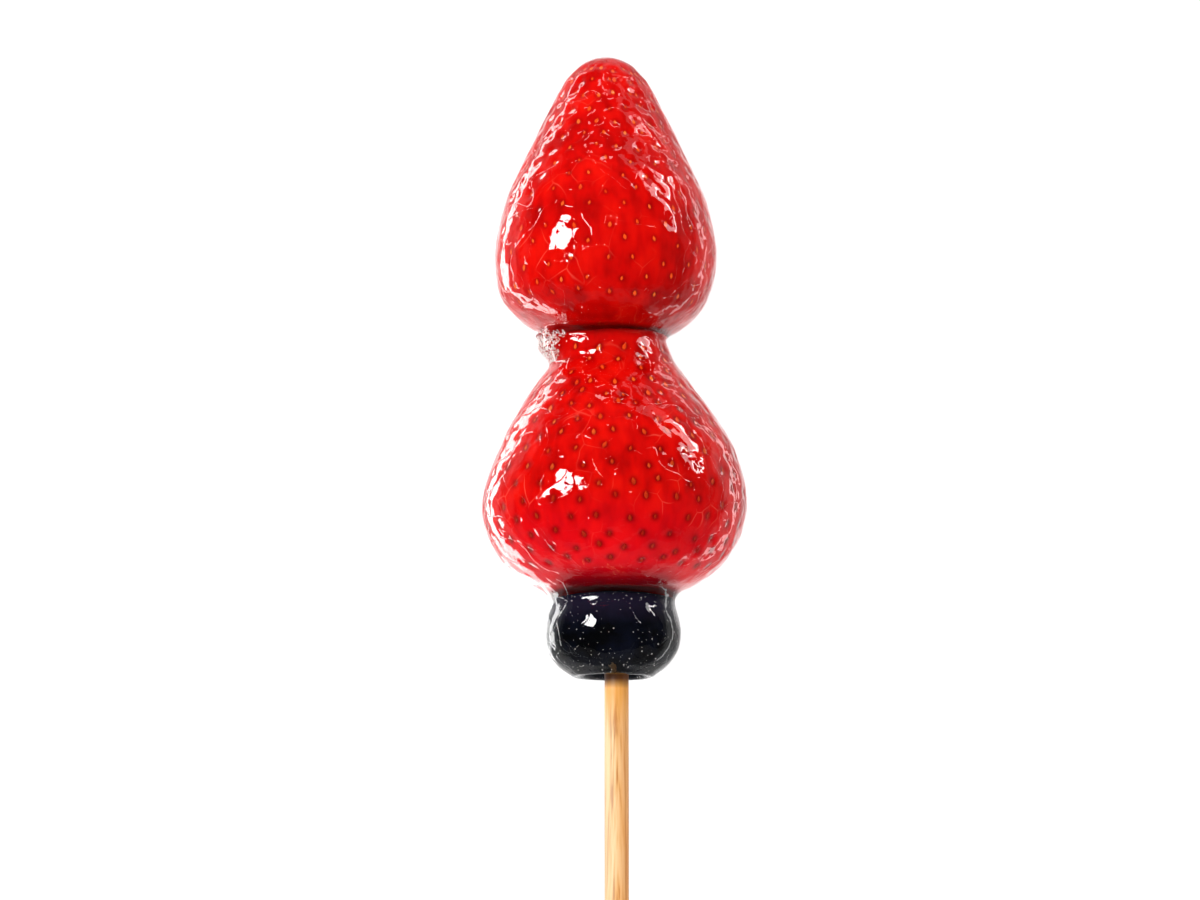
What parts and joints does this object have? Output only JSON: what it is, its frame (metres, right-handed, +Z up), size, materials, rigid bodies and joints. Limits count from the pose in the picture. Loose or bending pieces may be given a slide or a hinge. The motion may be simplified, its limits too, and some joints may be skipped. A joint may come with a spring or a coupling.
{
  "type": "strawberry tanghulu",
  "caption": "Candied fruit on a bamboo skewer: hulled strawberries and a blueberry under clear hard sugar, lying on its back.",
  "frame": {"origin": "middle of the footprint on the surface that the part lies on", "axes": "+Y along the skewer towards the strawberries' tips, +Z up, out of the shown side, +X to the right of the shown side"},
  "size_m": [0.0326, 0.1574, 0.0311],
  "materials": {
    "bamboo": "dry, fine lengthwise fibres",
    "glazed_strawberry": "wet gloss of hard clear sugar over red flesh with pale seeds",
    "glazed_blueberry": "wet gloss of hard clear sugar over blue-black skin",
    "clear_sugar": "clear hard sugar"
  },
  "bodies": {
    "root": {"skewer": "bamboo", "strawberry_top": "glazed_strawberry", "strawberry_bottom": "glazed_strawberry", "blueberry": "glazed_blueberry", "sugar_neck": "clear_sugar"}
  },
  "joints": []
}
